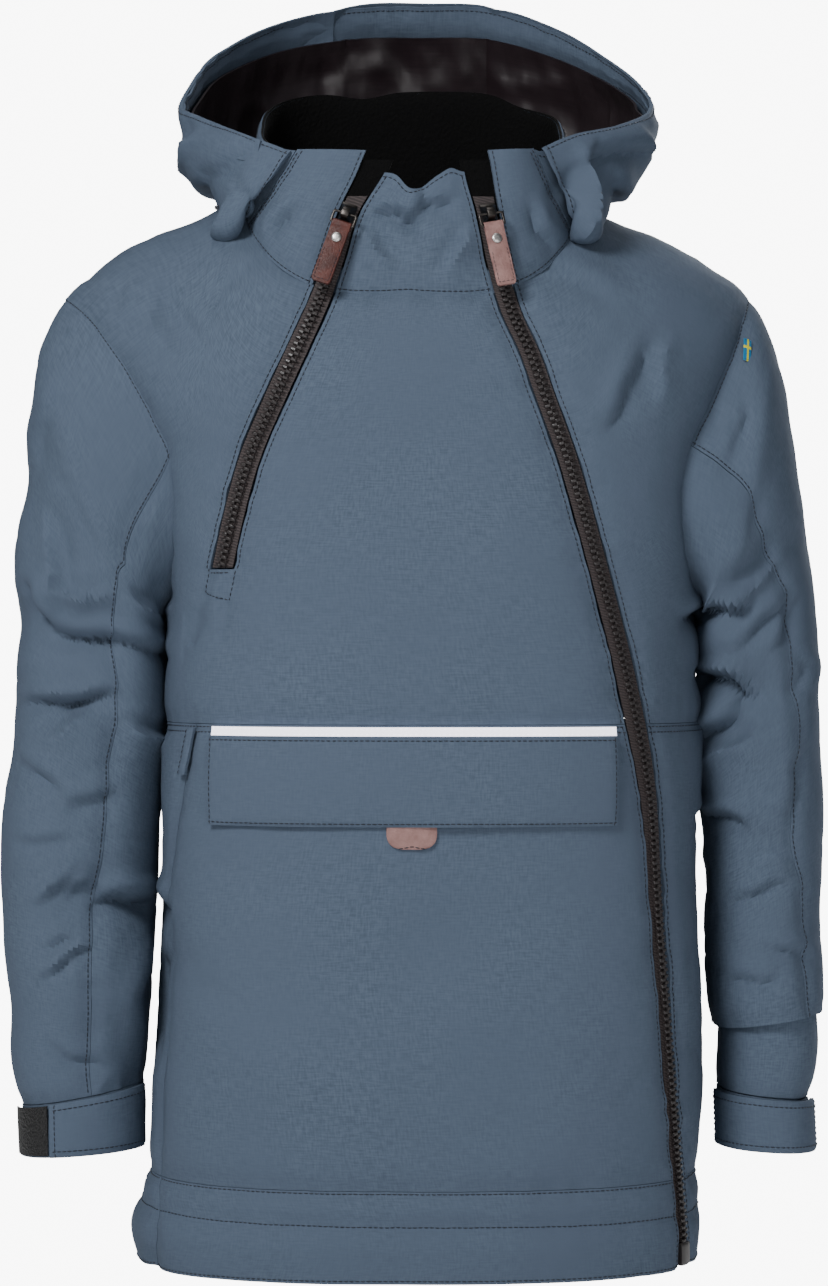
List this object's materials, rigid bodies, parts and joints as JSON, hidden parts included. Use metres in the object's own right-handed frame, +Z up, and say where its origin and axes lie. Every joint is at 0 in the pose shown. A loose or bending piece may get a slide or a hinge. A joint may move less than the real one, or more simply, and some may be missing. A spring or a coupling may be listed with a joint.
{
  "type": "anorak pullover",
  "caption": "Child's padded hooded anorak in slate blue, filled out as worn, with a slanted chest zip, a curved front zip, a flap pocket and leather zip pulls",
  "frame": {"origin": "the middle of the neck opening, at the height of the shoulder seams, where the wearer's shoulders hold the garment", "axes": "+Z up; the front faces -Y; +X is on the right of someone who looks at the front"},
  "size_m": [0.5115, 0.3328, 0.8008],
  "materials": {
    "shell_cloth": "matte slubbed polyester weave, lightly padded",
    "satin_lining": "dark satin",
    "black_fleece": "brushed fleece and zip guard cloth",
    "zip_tape": "woven zip tape",
    "zip_teeth": "moulded acetal teeth",
    "nickel_metal": "satin nickel plate",
    "leather_dark": "dark red-brown leather",
    "leather_pale": "mauve-brown leather",
    "reflective_tape": "reflective tape",
    "hook_patch": "hook fastener",
    "flag_label": "woven label in blue and yellow"
  },
  "bodies": {
    "garment": {"front_main_upper": "shell_cloth", "front_side_upper": "shell_cloth", "back_upper": "shell_cloth", "front_main_lower": "shell_cloth", "front_side_lower": "shell_cloth", "back_lower": "shell_cloth", "hem_front_main": "shell_cloth", "hem_front_side": "shell_cloth", "hem_back": "shell_cloth", "reflective_strip": "reflective_tape", "pocket_flap": "shell_cloth", "pocket_pull_tab": "leather_pale", "pocket_welt_left": "shell_cloth", "collar_left": "shell_cloth", "collar_right": "shell_cloth", "collar_centre": "shell_cloth", "collar_back": "shell_cloth", "collar_fleece": "black_fleece", "zip_guard_left": "black_fleece", "zip_guard_right": "black_fleece", "hood_side_left": "shell_cloth", "hood_centre": "shell_cloth", "hood_side_right": "shell_cloth", "hood_rim_band": "shell_cloth", "hood_lining": "satin_lining", "sleeve_left_outer": "shell_cloth", "sleeve_left_under": "shell_cloth", "sleeve_right_outer": "shell_cloth", "sleeve_right_under": "shell_cloth", "cuff_left": "shell_cloth", "cuff_strap_left": "shell_cloth", "cuff_hook_patch": "hook_patch", "cuff_right": "shell_cloth", "cuff_strap_right": "shell_cloth", "sleeve_right_lower": "shell_cloth", "short_zip_tape": "zip_tape", "short_zip_chain": "zip_teeth", "long_zip_tape": "zip_tape", "long_zip_chain": "zip_teeth", "long_zip_box": "zip_teeth", "short_zip_slider": "nickel_metal", "long_zip_slider": "nickel_metal", "hood_snap_left": "nickel_metal", "hood_snap_right": "nickel_metal", "flag_label": "flag_label"},
    "short_pull": {"short_zip_link": "nickel_metal", "short_zip_leather": "leather_dark", "short_zip_rivet": "nickel_metal"},
    "long_pull": {"long_zip_link": "nickel_metal", "long_zip_leather": "leather_pale", "long_zip_rivet": "nickel_metal"}
  },
  "joints": [
    {"name": "short_zip_pull", "type": "hinge", "parent": "garment", "child": "short_pull", "pos_m": [-0.04061, -0.09943, 0.00851], "axis": [-0.9399, 0.1306, 0.3154], "range_deg": [0, 150]},
    {"name": "long_zip_pull", "type": "hinge", "parent": "garment", "child": "long_pull", "pos_m": [0.04567, -0.09808, 0.00855], "axis": [-0.966, -0.1904, -0.175], "range_deg": [0, 150]}
  ]
}
